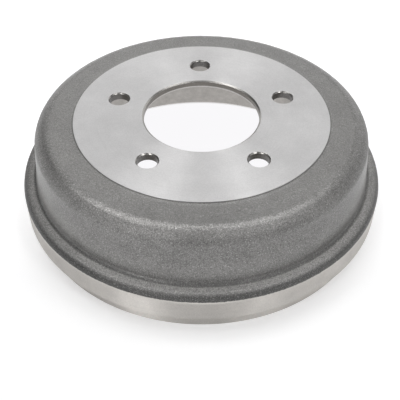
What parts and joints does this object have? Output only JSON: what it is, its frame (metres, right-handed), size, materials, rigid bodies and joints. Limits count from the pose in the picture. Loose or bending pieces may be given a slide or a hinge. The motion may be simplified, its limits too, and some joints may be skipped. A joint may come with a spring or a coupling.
{
  "type": "brake drum",
  "caption": "One-piece cast iron brake drum with a turned hub face, pilot bore, bolt circle, rounded shoulder, beaded flange with a turned band, and a lip below it.",
  "frame": {"origin": "on the drum's axis, in the plane of the lip at the open end, which the drum stands on", "axes": "+Z along the axis, from the open end towards the turned hub face; +Y through one bolt hole"},
  "size_m": [0.2402, 0.2402, 0.071],
  "materials": {
    "cast_iron": "grainy grey cast skin, with turned bright faces on the hub, flange band and friction surface"
  },
  "bodies": {
    "root": {"drum": "cast_iron"}
  },
  "joints": []
}
